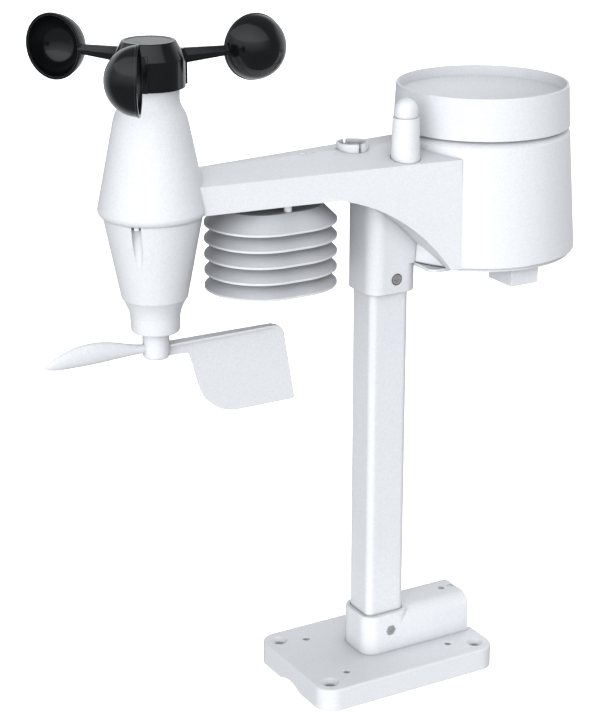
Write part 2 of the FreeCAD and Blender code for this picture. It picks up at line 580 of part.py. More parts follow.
def make_main_housing():
    body = new_body()
    solid_cone = new_sketch(body, "XZ", x="wind_x")
    outline(solid_cone, ("0", "cone_rim_z"), ("cone_rim", "cone_rim_z"), ("cone_wide", "cone_wide_z", "4.5"),
            *cone_flank("0"), ("cone_neck", "cone_top"), ("0", "cone_top"))
    revolve(body, solid_cone)
    loft(body, "Additive", arm_section(body, "arm_start", "gauge_bottom", flare="arm_flare"),
         arm_section(body, "arm_end", "gauge_bottom", flare="arm_flare"))
    pocket(body, under_arch(new_sketch(body, "XZ"), "arch_radius", "arm_bottom", "gauge_bottom - 1"), "120",
           both_ways=True)
    skirt = new_sketch(body, "XZ", x="wind_x")
    outline(skirt, ("0", "cone_rim_z"), ("cone_rim", "cone_rim_z"), ("cone_wide", "cone_wide_z", "4.5"),
            ("0", "cone_wide_z"))
    revolve(body, skirt)
    inside = new_sketch(body, "XZ", x="wind_x")
    outline(inside, ("0", "cone_rim_z - 1"), ("cone_rim - 0.2", "cone_rim_z - 1"), ("cone_rim - 0.2", "cone_wide_z"),
            *cone_flank("wall"), ("cone_neck - wall", "cone_top - wall"),
            ("tube_outer", "cone_top - wall"), ("tube_outer", "tube_foot"), ("0", "tube_foot"))
    groove(body, inside)
    bore = circle(new_sketch(body, "XY", offset="cone_top"), "wind_x", "0", "tube_bore")
    pocket(body, bore, "cone_top - tube_foot + 1")
    loft(body, "Subtractive", arm_section(body, "arm_cover_start", "gauge_bottom - 2", "wall"),
         arm_section(body, "arm_end - 1", "gauge_bottom - 2", "wall"))
    window = rectangle(new_sketch(body, "YZ", offset="wind_x + 10"), ("-12", "12"), ("arm_bottom + 2", "arm_edge - 2"))
    pocket(body, window, "30", backwards=True)
    drum = new_sketch(body, "XZ", x="gauge_x")
    outline(drum, ("0", "gauge_bottom"), ("gauge_r_bottom - 1", "gauge_bottom"),
            ("gauge_r_bottom", "gauge_bottom + 1", "1.0"), ("gauge_r_top", "gauge_shoulder"),
            ("gauge_mouth + 1.6", "gauge_rim", "9.0"), ("0", "gauge_rim"))
    revolve(body, drum)
    chamber = new_sketch(body, "XZ", x="gauge_x")
    outline(chamber, ("0", "gauge_bottom - 1"), ("gauge_r_bottom - wall", "gauge_bottom - 1"),
            ("gauge_r_bottom - wall", "gauge_bottom"), ("gauge_r_top - wall + 0.9", "gauge_ledge - 5.5"),
            ("gauge_mouth - 3.2", "gauge_ledge - 1.6"), ("gauge_mouth - 3.2", "gauge_ledge"),
            ("gauge_mouth", "gauge_ledge"), ("gauge_mouth", "gauge_rim + 1"), ("0", "gauge_rim + 1"))
    groove(body, chamber)
    notch = new_sketch(body, "XY", offset="gauge_bottom - 1")
    rectangle(notch, ("neck_x", "neck_x + neck_half_x + cover_gap"),
              ("-neck_half_y - cover_gap", "neck_half_y + cover_gap"))
    pocket(body, notch, "neck_top + cover_gap - gauge_bottom + 1", backwards=True)
    for x, y, radius in (("antenna_x", "antenna_y", "sleeve_r"), ("level_x", "0", "level_r")):
        pocket(body, circle(new_sketch(body, "XY", offset="arm_ridge + 1"), x, y, f"{radius} + 0.1"), "12")
    for places, foot, length, boss in ((cover_screw_places(), "arm_bottom + cover_skin + 0.2", "13.3", "2.9"),
                                       (floor_screw_places(), "gauge_bottom + floor_skin + 0.2", "9.5", "3.6")):
        for x, y in places:
            pad(body, circle(new_sketch(body, "XY", offset=foot), x, y, boss), length)
            pocket(body, circle(new_sketch(body, "XY", offset=foot), x, y, "screw_r + 0.02"), "8.5", backwards=True)
    for side in (1, -1):
        near = "slot_radius + 1.8"
        hook = slot_sketch(body, side, near, "slot_radius + 5.1", "slot_tab", "lower_top + 0.9", "wind_x")
        pad(body, hook, "spigot_top - lower_top - 1.1")
        tongue = slot_sketch(body, side, near, "slot_radius + 3.7", "slot_tab", "lower_top - 1.7", "wind_x")
        pad(body, tongue, "2.7")
    arrow = new_sketch(body, "XY", x="arrow_x", offset="arm_ridge - 0.8")
    outline(arrow, ("-5", "0"), ("-2", "-1.8"), ("-2", "-0.6"), ("5", "-0.6"), ("5", "0.6"), ("-2", "0.6"), ("-2", "1.8"))
    pad(body, arrow, "1.3")
    ledge = new_sketch(body, "XZ", x="wind_x")
    level = "speed_board_z + board"
    outline(ledge, ("speed_board_r - 1.4", level), ("speed_board_r + 1", level),
            ("speed_board_r + 1", f"{level} + 1.4"), ("speed_board_r - 1.4", f"{level} + 1.4"))
    revolve(body, ledge)
    return piece(body, "main_housing")


# ---- Lower cover of the arm, with the neck that holds the pole -----------------------------------

def make_lower_cover():
    body = new_body()
    inset = "wall + cover_gap"
    start, end = "arm_cover_start + cover_gap", "arm_end - 2"
    plan = new_sketch(body, "XY", offset="gauge_bottom")
    outline(plan, (start, f"-({arm_half(start, inset)})"), (end, f"-({arm_half(end, inset)})"),
            (end, arm_half(end, inset)), (start, arm_half(start, inset)))
    pad(body, plan, "arm_bottom + cover_skin - gauge_bottom")
    pocket(body, under_arch(new_sketch(body, "XZ"), "arch_radius", "arm_bottom", "gauge_bottom - 1"), "120",
           both_ways=True)
    outer = "arch_radius + cover_skin"
    above = new_sketch(body, "XZ")
    outline(above, (arch_end(outer, "arm_bottom + cover_skin - 0.5"), "arm_bottom + cover_skin + 1"),
            (arch_end(outer, "arm_bottom + cover_skin - 0.5"), "arm_bottom + cover_skin - 0.5"),
            (arch_end(outer, "gauge_bottom - 0.5"), "gauge_bottom - 0.5", f"-({outer})"),
            ("arm_end + 5", "gauge_bottom - 0.5"), ("arm_end + 5", "arm_bottom + cover_skin + 1"))
    pocket(body, above, "120", both_ways=True)
    drum = circle(new_sketch(body, "XY", offset="gauge_bottom - 1"), "gauge_x", "0", "gauge_r_bottom + cover_gap")
    pocket(body, drum, "60", backwards=True)
    neck = new_sketch(body, "XY", offset="neck_bottom")
    rounded_rectangle(neck, "neck_half_x", "neck_half_y", "neck_corner", u="neck_x")
    pad(body, neck, "neck_top - neck_bottom")
    soften(body, "Fillet", "1.0", at_height(number("neck_bottom")))
    gusset = new_sketch(body, "XZ")
    web_end = "neck_x + neck_half_x"
    outline(gusset, ("neck_x", "gusset_bottom"), (web_end, "gusset_bottom"), (web_end, "neck_top - 22"),
            ("neck_x", "neck_top - 4"))
    pad(body, gusset, "2 * neck_half_y", both_ways=True)
    bore = new_sketch(body, "XY", offset="neck_bottom")
    rounded_rectangle(bore, "pole_half_x + pole_play", "pole_half_y + pole_play", "pole_corner + pole_play",
                      u="pole_x")
    pocket(body, bore, "pole_top + pole_play - neck_bottom", backwards=True)
    core = new_sketch(body, "XY", offset="neck_bottom")
    rounded_rectangle(core, "pole_half_x - pole_wall", "pole_half_y - pole_wall", "pole_corner - pole_wall",
                      u="pole_x")
    pocket(body, core, "neck_top - cover_skin - neck_bottom", backwards=True)
    lock_bores(body, "lock_high_z", 1)
    for side in (1, -1):
        foot = new_sketch(body, "XY", offset="gauge_bottom - 0.1")
        edge = "(floor_r + 0.4)"
        inner, outer = "13", "foot_half"
        ends = [f"gauge_x - sqrt({edge} ^ 2 - {y} ^ 2)" for y in (inner, outer)]
        outline(foot, ("foot_start", f"{side} * {inner}"), (ends[0], f"{side} * {inner}"),
                (ends[1], f"{side} * {outer}", f"{-side} * {edge}"),
                ("foot_start + foot_corner", f"{side} * {outer}"),
                ("foot_start", f"{side} * ({outer} - foot_corner)", f"{side} * foot_corner"))
        pad(body, foot, "foot_depth - 0.1", backwards=True)
    for x, y in post_places():
        pad(body, circle(new_sketch(body, "XY", offset="arm_bottom + 1"), x, y, "post_r + 0.4"), "3.8")
    for x in ("main_board_x - 8", "main_board_x + 14"):
        for y in ("-16", "16"):
            stand = f"arch_z + sqrt((arch_radius + 1.4) ^ 2 - ({x} - arch_x) ^ 2)"
            stand = f"min({stand}; arm_bottom + 1.4)"
            pad(body, circle(new_sketch(body, "XY", offset=stand), x, y, "2"), f"main_board_z - {stand}")
    for x, y in cover_screw_places() + post_places():
        pocket(body, circle(new_sketch(body, "XY", offset="arm_bottom - 1"), x, y, "screw_r + 0.02"), "6",
               backwards=True)
    port = rectangle(new_sketch(body, "XY", offset="arm_bottom - 1"), ("shield_x - 8", "shield_x + 8"), ("-2", "2"))
    pocket(body, port, "6", backwards=True)
    return piece(body, "lower_cover")


# ---- Rain gauge ---------------------------------------------------------------------------------

def from_gauge(x):
    return f"gauge_x + ({x})"


def make_gauge_floor():
    """Round floor with the battery bay in the middle and a drain spout on each side of it."""
    low, skin = "gauge_bottom", "floor_skin"
    disc = cylinder("floor_r", ("gauge_x", "0", low), skin)
    rim = tube("floor_r", "floor_r - floor_rim", ("gauge_x", "0", f"{low} - floor_rim_depth"), "floor_rim_depth + 1")
    bay = box((from_gauge("-bay_half_x - bay_wall"), from_gauge("bay_half_x + bay_wall")),
              ("-bay_half_y - bay_wall", "bay_half_y + bay_wall"), (low, "bay_top + bay_wall"))
    spouts, hollows = [], []
    for side in (1, -1):
        inner, outer = f"{side} * drain_inner", f"{side} * drain_outer"
        near, far = (inner, outer) if side > 0 else (outer, inner)
        spouts.append(box((from_gauge("-drain_half_x"), from_gauge("drain_half_x")), (near, far),
                          ("drain_foot", f"{low} + {skin}")))
        hollows.append(box((from_gauge("drain_wall - drain_half_x"), from_gauge("drain_half_x - drain_wall")),
                           (f"{near} + drain_wall", f"{far} - drain_wall"), ("drain_foot + 1.4", f"{low} + {skin} + 1")))
        for step in (-1, 0, 1):
            hollows.append(box((from_gauge(f"{step} * 4.6 - 1.5"), from_gauge(f"{step} * 4.6 + 1.5")),
                               (f"{near} + 3", f"{far} - 3"), ("drain_foot - 1", "drain_foot + 2")))
    room = box((from_gauge("-bay_half_x"), from_gauge("bay_half_x")), ("-bay_half_y", "bay_half_y"),
               (f"{low} - 1", "bay_top"))
    notch = box(("neck_x - 30", "neck_x + neck_half_x + cover_gap"),
                ("-neck_half_y - cover_gap", "neck_half_y + cover_gap"), (f"{low} - 3", f"{low} + 5"))
    holes = [cylinder("button_r + 0.08", ("button_x", "0", f"{low} - 1"), "5"),
             cylinder("lamp_r + 0.02", ("button_x", "lamp_y", f"{low} - 1"), "5")]
    holes += [cylinder("screw_r + 0.1", (x, y, f"{low} - 1"), "5") for x, y in floor_screw_places()]
    holes += [cylinder("screw_head + 0.3", (x, y, f"{low} - 3"), "3") for x, y in floor_screw_places()]
    holes += [cylinder("screw_r + 0.02", (x, y, f"{low} - 1"), "5.2") for x, y in door_screw_places()]
    stands = [cylinder("1.4", (x, y, low), "8") for x, y in (("button_x - 4.4", "4.4"), ("button_x + 4.4", "-11"))]
    recess = box((from_gauge("-bay_half_x - door_lap"), from_gauge("bay_half_x + door_lap")),
                 ("-bay_half_y", "bay_half_y"), (f"{low} - 1", f"{low} + door_skin + 0.1"))
    roof = box((from_gauge("-bay_half_x - door_lap - 1"), from_gauge("bay_half_x + door_lap + 1")),
               ("-bay_half_y - bay_wall", "bay_half_y + bay_wall"), (f"{low}", f"{low} + 2 * {skin} + 0.6"))
    body = cut(fuse(disc, rim, bay, roof, *spouts, *stands), room, recess, notch, *hollows, *holes)
    return piece(body, "gauge_floor")


def floor_screw_places():
    reach = "floor_screw_reach"
    return [(from_gauge(f"{reach} * cos({turn})"), f"{reach} * sin({turn})") for turn in (38, 142, 218, 322)]


def door_screw_places():
    return [(from_gauge(f"{side} * (bay_half_x + 2.2)"), "0") for side in (-1, 1)]


def pan_screw(at, length):
    """A small pan-head screw that goes up from the underside of a part."""
    x, y, z = at
    head = cylinder("screw_head", (x, y, f"({z}) - screw_head_h"), "screw_head_h")
    shank = cylinder("screw_r", at, length)
    return cut(fuse(head, shank), *cross_slots((x, y, f"({z}) - screw_head_h - 0.1"), "screw_head", "0.9"))


def make_battery_door():
    """Door of the battery bay with its seal and two screws."""
    low = "gauge_bottom"
    half_x = "bay_half_x + door_lap - 0.2"
    plate = box((from_gauge(f"-({half_x})"), from_gauge(half_x)), ("0.2 - bay_half_y", "bay_half_y - 0.2"),
                (low, f"{low} + door_skin"))
    grip = [box((from_gauge(f"{step} * 3 - 0.7"), from_gauge(f"{step} * 3 + 0.7")), ("-8", "8"),
                (f"{low} - 0.6", f"{low}")) for step in (-2, -1, 0, 1, 2)]
    bores = [cylinder("screw_r + 0.1", (x, y, f"{low} - 1"), "5") for x, y in door_screw_places()]
    piece(cut(fuse(plate, *grip), *bores), "battery_door")
    piece(group(*[pan_screw((x, y, low), "4") for x, y in door_screw_places()]), "battery_door_screws")
    seal_low, seal_high = f"{low} + door_skin + 0.05", f"{low} + door_skin + 1.15"
    ring = cut(
        box((from_gauge("0.1 - bay_half_x"), from_gauge("bay_half_x - 0.1")), ("0.1 - bay_half_y", "bay_half_y - 0.1"),
            (seal_low, seal_high)),
        box((from_gauge("1.7 - bay_half_x"), from_gauge("bay_half_x - 1.7")), ("1.7 - bay_half_y", "bay_half_y - 1.7"),
            (f"{seal_low} - 1", f"{seal_high} + 1")))
    piece(ring, "battery_door_seal")


def make_batteries():
    """Three cells side by side, each with a button at its positive end, and their contacts."""
    contacts = []
    for index in range(3):
        side = "cell_pitch * " + str(index - 1)
        turn = 1 if index % 2 == 0 else -1
        start = from_gauge("-cell_length / 2")
        can = cylinder("cell_r", (start, side, "cell_z"), "cell_length", "x")
        tip = from_gauge(f"{turn} * cell_length / 2" + ("" if turn > 0 else " - 1.1"))
        button = cylinder("2.7", (tip, side, "cell_z"), "1.1", "x")
        piece(fuse(can, button), f"battery_{index + 1}")
        for end in (-1, 1):
            face = f"{end} * (bay_half_x - 0.5)"
            low, high = (face, f"{face} + 0.4") if end > 0 else (f"{face} - 0.4", face)
            contacts.append(box((from_gauge(low), from_gauge(high)), (f"{side} - 5", f"{side} + 5"),
                                ("cell_z - 5", "cell_z + 5")))
    piece(group(*contacts), "battery_contacts")


def make_rain_collector():
    """Funnel with an upright rim wall and a skirt that plugs into the gauge body."""
    body = new_body(x="gauge_x")
    profile = new_sketch(body, "XZ")
    outline(profile, ("spout_r", "spout_z"), ("spout_r", "spout_foot"), ("spout_r + 1.4", "spout_foot"),
            ("spout_r + 1.4", "spout_z - bowl_skin"), ("skirt_r - bowl_skin", "bowl_z - 2.8 * bowl_skin"),
            ("skirt_r - bowl_skin", "skirt_foot"), ("skirt_r", "skirt_foot"), ("skirt_r", "bowl_z - 2 * bowl_skin"),
            ("lip_r - lip_wall", "bowl_z - 2 * bowl_skin"), ("lip_r - lip_wall", "lip_bottom"),
            ("lip_r", "lip_bottom"), ("rim_r", "rim_z - 0.5"), ("rim_r - 0.5", "rim_z", "0.5"),
            ("rim_r - lip_wall", "rim_z"), ("rim_r - lip_wall + 0.2", "bowl_z"))
    revolve(body, profile)
    return piece(body, "rain_collector")


def make_tipping_bucket():
    """Two scoops back to back, with a divider between them, on a cross axle."""
    body = new_body(x="gauge_x")
    sides = new_sketch(body, "YZ")
    outline(sides, ("-bucket_half_y", "bucket_end_z"), ("-2", "bucket_low"), ("2", "bucket_low"),
            ("bucket_half_y", "bucket_end_z"), ("bucket_half_y", "bucket_end_z + 1"),
            ("0.6", "bucket_peak"), ("-0.6", "bucket_peak"), ("-bucket_half_y", "bucket_end_z + 1"))
    pad(body, sides, "2 * bucket_half_x", both_ways=True)
    for side in (1, -1):
        scoop = new_sketch(body, "YZ")
        skin = "bucket_skin"
        points = [("bucket_half_y + 1", f"bucket_end_z + {skin} + 0.4"), ("bucket_half_y + 1", "bucket_peak + 1"),
                  (f"{skin} / 2", "bucket_peak + 1"), (f"{skin} / 2", f"pivot_z + axle_r + {skin}"),
                  ("4", f"pivot_z + axle_r + {skin} - 2.2")]
        outline(scoop, *[(f"{side} * ({u})", v) for u, v in points])
        pocket(body, scoop, f"2 * (bucket_half_x - {skin})", both_ways=True)
    pocket(body, circle(new_sketch(body, "YZ"), "0", "pivot_z", "axle_r + 0.05"), "3 * bucket_half_x", both_ways=True)
    return piece(body, "tipping_bucket")


def make_bucket_works():
    """The bucket's axle, cradle with its two stops, magnet and reed switch board."""
    reach = "ear_inner + ear_skin"
    piece(cylinder("axle_r", (from_gauge(f"-({reach}) - 0.6"), "0", "pivot_z"), f"2 * ({reach}) + 1.2", "x"),
          "bucket_axle")
    foot = "bay_top + bay_wall"
    base = box((from_gauge(f"-({reach})"), from_gauge(reach)), ("-bay_half_y", "bay_half_y"), (foot, f"{foot} + 1.8"))
    ears = [box((from_gauge(start), from_gauge(f"{start} + ear_skin")), ("-5", "5"), (foot, "pivot_z + 4"))
            for start in (f"-({reach})", "ear_inner")]
    stops = [box((from_gauge("-8"), from_gauge("8")), (f"{side} * stop_y - stop_half", f"{side} * stop_y + stop_half"),
                 (foot, "stop_top")) for side in (-1, 1)]
    bore = cylinder("axle_r + 0.02", (from_gauge(f"-({reach}) - 1"), "0", "pivot_z"), f"2 * ({reach}) + 2", "x")
    piece(cut(fuse(base, *ears, *stops), bore), "bucket_cradle")
    piece(cylinder("2", (from_gauge("bucket_half_x"), "0", "bucket_peak - 9"), "1.3", "x"), "bucket_magnet")
    board = box((from_gauge(f"{reach} + 0.8"), from_gauge(f"{reach} + 0.8 + board")), ("-9", "9"), (foot, "pivot_z + 16"))
    glass = cylinder("1.1", (from_gauge(f"{reach} + 0.8 + board + 0.9"), "-7", "bucket_peak - 9"), "14", "y")
    piece(fuse(cut(board, cylinder("axle_r + 0.4", (from_gauge("15"), "0", "pivot_z"), "6", "x")), glass),
          "rain_reed_board")


def make_controls():
    """Reset button with its switch, and the light pipe, in the gauge floor."""
    low, skin = "gauge_bottom", "floor_skin"
    cap = cylinder("button_r", ("button_x", "0", f"{low} - 0.5"), f"{skin} + 1.6")
    collar = cylinder("button_r + 0.9", ("button_x", "0", f"{low} + {skin} + 0.3"), "0.8")
    piece(fuse(cap, collar), "reset_button")
    board = box(("button_x - 6", "button_x + 6"), ("-13", "6"), (f"{low} + 8", f"{low} + 8 + board"))
    switch = box(("button_x - 3", "button_x + 3"), ("-3", "3"), (f"{low} + 5", f"{low} + 8"))
    stem = cylinder("1.6", ("button_x", "0", f"{low} + {skin} + 2.2"), f"5 - {skin} - 2.2")
    piece(fuse(board, switch, stem), "reset_switch")
    pipe = cylinder("lamp_r", ("button_x", "lamp_y", f"{low} - 0.3"), "6.3")
    piece(pipe, "light_pipe")


# ---- Wind housing, rotor and vane ---------------------------------------------------------------

def at_wind(z):
    return ("wind_x", "0", z)


def make_lower_wind_housing():
    body = new_body(x="wind_x")
    shell = new_sketch(body, "XZ")
    wall = "wall"
    outline(shell, ("lower_foot - 1.2", "lower_foot_z"), ("lower_foot", "lower_foot_z + 1.2", "1.2"),
            ("lower_waist", "lower_waist_z"), ("lower_knee", "lower_knee_z", "-24"), ("lower_wide", "lower_top"),
            ("lower_wide", "spigot_top"), (f"lower_wide - {wall}", "spigot_top"), (f"lower_wide - {wall}", "lower_top"),
            (f"lower_knee - {wall}", "lower_knee_z"), (f"lower_waist - {wall}", f"lower_floor + {wall} + 1"),
            ("tube_outer", f"lower_floor + {wall}"), ("tube_outer", "lower_tube_top"), ("tube_bore", "lower_tube_top"),
            ("tube_bore", "lower_floor"), ("lower_recess", "lower_floor"), ("lower_recess", "lower_foot_z"))
    revolve(body, shell)
    for side in (1, -1):
        backing = slot_sketch(body, side, "slot_radius - 1.8", "slot_radius + slot_half + 1.2", "slot_half + 1.6")
        pad(body, backing, "lower_top - slot_foot")
    outside = new_sketch(body, "XZ")
    outline(outside, ("lower_knee", "lower_knee_z"), ("lower_wide", "lower_top"), ("lower_wide + 9", "lower_top"),
            ("lower_wide + 9", "lower_knee_z"))
    groove(body, outside)
    for side in (1, -1):
        channel = slot_sketch(body, side, "slot_radius", "slot_radius + 8", "slot_half", rounded=True)
        pocket(body, channel, "lower_top - slot_foot - 0.4", backwards=True)
        catch = slot_sketch(body, side, "slot_radius - 3", "slot_radius + 8", "slot_half", "lower_top - 2")
        pocket(body, catch, "spigot_top - lower_top + 2.5", backwards=True)
    ledge = new_sketch(body, "XZ")
    level = "direction_board_z - 1.4"
    outline(ledge, ("direction_board_r - 1.6", level), ("direction_board_r + 1.4", level),
            ("direction_board_r + 1.4", "direction_board_z"), ("direction_board_r - 1.6", "direction_board_z"))
    revolve(body, ledge)
    return piece(body, "lower_wind_housing")


def slot_sketch(body, side, near, far, half, level="slot_foot", x="0", rounded=False):
    """The plan of a snap slot on a slanted line through the axis, with a square or a round inner end."""
    sketch = new_sketch(body, "XY", x=x, offset=level)
    along, across = f"{side} * cos(slot_turn)", f"{side} * sin(slot_turn)"
    corners = [(far, f"-({half})"), (far, half)]
    if rounded:
        start = f"{near} + {half}"
        corners += [(start, half), (near, "0", half), (start, f"-({half})", half)]
    else:
        corners += [(near, half), (near, f"-({half})")]
    return outline(sketch, *[(f"({u}) * {along} - ({v}) * {across}", f"({u}) * {across} + ({v}) * {along}", *bend)
                             for u, v, *bend in corners])


def bush(z, flange_up):
    """A flanged plain bearing in a housing tube."""
    barrel = cylinder("bush_outer", at_wind(z), "bush_length")
    flange = cylinder("bush_flange", at_wind(f"{z} + bush_length" if flange_up else f"{z} - 1"), "1")
    return cut(fuse(barrel, flange), cylinder("bush_bore", at_wind(f"{z} - 2"), "bush_length + 4"))


def make_rotor_works():
    piece(bush("cone_top - bush_length", True), "rotor_bearing_upper")
    piece(bush("tube_foot", False), "rotor_bearing_lower")
    shaft = cylinder("shaft_r", at_wind("shaft_foot"), "shaft_top - shaft_foot")
    collar = cylinder("2.6", at_wind("tube_foot - 2.2"), "0.9")
    piece(fuse(shaft, collar), "rotor_shaft")
    piece(tube("magnet_r", "shaft_r + 0.01", at_wind("shaft_foot + 0.5"), "magnet_height"), "rotor_magnet")
    board = cylinder("speed_board_r", at_wind("speed_board_z"), "board")
    reed = cylinder("1.1", ("wind_x + 6", "-7", "speed_board_z + board + 0.9"), "14", "y")
    piece(fuse(board, reed), "wind_speed_board")


def make_rotor_hub():
    body = new_body(x="wind_x")
    profile = new_sketch(body, "XZ")
    wall = "hub_wall"
    outline(profile, ("shaft_r + 0.01", "hub_boss_foot"), ("hub_boss", "hub_boss_foot"),
            ("hub_boss", f"hub_top - cap_depth - {wall}"), (f"hub_top_r - {wall}", f"hub_top - cap_depth - {wall}"),
            (f"hub_r - {wall}", f"hub_break - {wall} / 2"), (f"hub_r - {wall}", "hub_bottom"), ("hub_r", "hub_bottom"),
            ("hub_r", "hub_break"), ("hub_top_r", "hub_top - 0.4"), ("hub_top_r - 0.6", "hub_top", "1.0"),
            ("cap_r + 0.1", "hub_top"), ("cap_r + 0.1", "hub_top - cap_depth"), ("shaft_r + 0.01", "hub_top - cap_depth"))
    revolve(body, profile)
    for turn in (0, 120, 240):
        seat = new_sketch(body, "XY", offset="hub_bottom - 1")
        along, across = f"cos({turn})", f"sin({turn})"
        near, far = "root_shift - root_half - root_play", "root_shift + root_half + root_play"
        corners = [("root_inner", near), ("hub_r + 3", near), ("hub_r + 3", far), ("root_inner", far)]
        outline(seat, *[(f"({u}) * {along} - ({v}) * {across}", f"({u}) * {across} + ({v}) * {along}")
                        for u, v in corners])
        pocket(body, seat, "beam_top + 0.1 - hub_bottom + 1", backwards=True)
    piece(cylinder("cap_r", at_wind("hub_top - cap_depth"), "cap_depth - 0.15"), "hub_cap")
    return piece(body, "rotor_hub")


def make_wind_cups():
    """Three cups, each in one moulding with its arm and the root block that plugs into the hub."""
    for index, turn in enumerate((0, 120, 240)):
        body = new_body(x="wind_x", turn=turn)
        root = new_sketch(body, "XZ", offset="-root_shift")
        inner, outer = "root_inner + root_play", "root_outer"
        outline(root, (inner, "hub_bottom"), (outer, "hub_bottom"), (outer, "hub_break"),
                ("hub_r - 0.4", "beam_top"), (inner, "beam_top"))
        pad(body, root, "2 * root_half", both_ways=True)
        loft(body, "Additive", beam_section(body, "beam_start", "beam_low", "beam_top"),
             beam_section(body, "beam_end", "beam_tip_low", "beam_tip_top"))
        bowl = new_sketch(body, "XY", x="cup_reach", offset="cup_z")
        outline(bowl, ("0", "-cup_r"), ("cup_r * cos(cup_band)", "-cup_r * sin(cup_band)", "cup_r"),
                ("cup_r + 0.35", "-cup_r * sin(cup_band)"), ("cup_r + 0.35", "cup_rim"), ("0", "cup_rim"))
        revolve(body, bowl)
        hollow = new_sketch(body, "XY", x="cup_reach", offset="cup_z")
        inside = "(cup_r - cup_wall)"
        outline(hollow, ("0", f"-{inside}"), (inside, "0", inside), (inside, "cup_rim + 3"), ("0", "cup_rim + 3"))
        groove(body, hollow)
        piece(body, f"wind_cup_{index + 1}")


def beam_section(body, x, low, high):
    """The cup arm's cross-section: a tall lozenge with a ridge along each side."""
    shift, flat, half = "beam_shift", "beam_flat", "beam_half"
    return outline(new_sketch(body, "YZ", offset=x), (f"{shift} - {flat}", low), (f"{shift} + {flat}", low),
                   (f"{shift} + {half}", "beam_mid"), (f"{shift} + {flat}", high), (f"{shift} - {flat}", high),
                   (f"{shift} - {half}", "beam_mid"))


POINTER_STATIONS = (
    # distance out from the axis, centre height, half height, half thickness
    (4.0, 223.0, 2.5, 1.9),
    (11.0, 223.2, 2.8, 2.0),
    (22.0, 224.4, 4.4, 2.5),
    (38.0, 225.1, 5.9, 2.9),
    (50.0, 224.1, 4.9, 2.4),
    (59.0, 222.4, 2.6, 1.5),
    (63.2, 221.8, 0.6, 0.5),
)


def make_wind_vane():
    """Hub, tail fin with its top flange, and a streamlined pointer that balances the fin."""
    body = new_body()
    fin = new_sketch(body, "XZ")
    top = "fin_top_z + flange_height"
    outline(fin, ("wind_x + 2", "fin_root_z"), ("fin_root_x", "fin_root_z - 0.5"), ("fin_toe_x", "fin_bottom"),
            ("fin_heel_x", "fin_bottom"), ("fin_top_x", top), ("wind_x + 2", top))
    pad(body, fin, "2 * fin_half", both_ways=True)
    for radius, x in (("fin_belly", "fin_toe_x"), ("fin_small", "fin_heel_x"), ("fin_rear", "fin_top_x"),
                      ("2 * fin_small", "fin_root_x")):
        soften(body, "Fillet", radius, upright_edge(number(x)))
    flange = new_sketch(body, "XY", offset="fin_top_z")
    outline(flange, ("wind_x + 2", "-flange_root"), ("flange_end_x", "-flange_tip"), ("flange_end_x", "flange_tip"),
            ("wind_x + 2", "flange_root"))
    pad(body, flange, "flange_height")
    hub = new_sketch(body, "XZ", x="wind_x")
    outline(hub, ("0", "vane_hub_bottom"), ("vane_hub_r - vane_hub_round", "vane_hub_bottom"),
            ("vane_hub_r", "vane_hub_bottom + vane_hub_round", "vane_hub_round"), ("vane_hub_r", "vane_hub_top"),
            ("0", "vane_hub_top"))
    revolve(body, hub)
    sections = []
    for out, middle, half_height, half_thick in POINTER_STATIONS:
        ring = document.addObject("Part::Ellipse", "Station")
        ring.MajorRadius, ring.MinorRadius = half_height, half_thick
        bind_place(ring, f"wind_x - {out}", "0", middle, Rotation(Vector(0, 1, 0), 90))
        sections.append(ring)
    pointer = document.addObject("Part::Loft", "Pointer")
    pointer.Sections = sections
    pointer.Solid = True
    return piece(cut(fuse(body, pointer), cylinder("shaft_r + 0.01", at_wind("vane_shaft_foot"), "20")), "wind_vane")


def upright_edge(x):
    """A test for short edges across the fin at one place along it."""
    def chosen(edge):
        bounds = edge.BoundBox
        is_across = bounds.XLength < 0.01 and bounds.ZLength < 0.01 and bounds.YLength > 1
        return is_across and abs(bounds.XMin - x) < 0.05
    return chosen


def make_vane_works():
    shaft = cylinder("shaft_r", at_wind("vane_shaft_foot"), "vane_shaft_top - vane_shaft_foot")
    piece(shaft, "vane_shaft")
    piece(bush("lower_tube_top - bush_length", True), "vane_bearing_upper")
    piece(tube("bush_outer", "bush_bore", at_wind("lower_floor + 1"), "bush_length"), "vane_bearing_lower")
    piece(tube("encoder_r", "shaft_r + 0.01", at_wind("lower_tube_top + 1.3"), "encoder_height"), "vane_magnet")
    piece(cylinder("direction_board_r", at_wind("direction_board_z"), "board"), "wind_direction_board")


# ---- Antenna, level, shield and boards ----------------------------------------------------------

def make_antenna():
    at = ("antenna_x", "antenna_y")
    sleeve = cut(cone("sleeve_r", "sleeve_top_r", (*at, "sleeve_foot"), "sleeve_top - sleeve_foot"),
                 cylinder("sleeve_top_r - sleeve_wall", (*at, "sleeve_foot - 1"), "sleeve_top - sleeve_foot + 2"))
    piece(sleeve, "antenna_sleeve")
    plug = cylinder("sleeve_top_r - sleeve_wall - 0.05", (*at, "sleeve_top - 4"), "5")
    drum = cylinder("dome_r", (*at, "sleeve_top"), "dome_z - sleeve_top")
    room = cylinder("dome_r - 2 * sleeve_wall", (*at, "sleeve_top - 5"), "dome_z - sleeve_top + 5")
    piece(cut(fuse(plug, drum, sphere("dome_r", (*at, "dome_z"))), room), "antenna_cap")
    piece(cylinder("0.8", (*at, "main_board_z + board"), "dome_z - main_board_z - board - 2"), "antenna_rod")


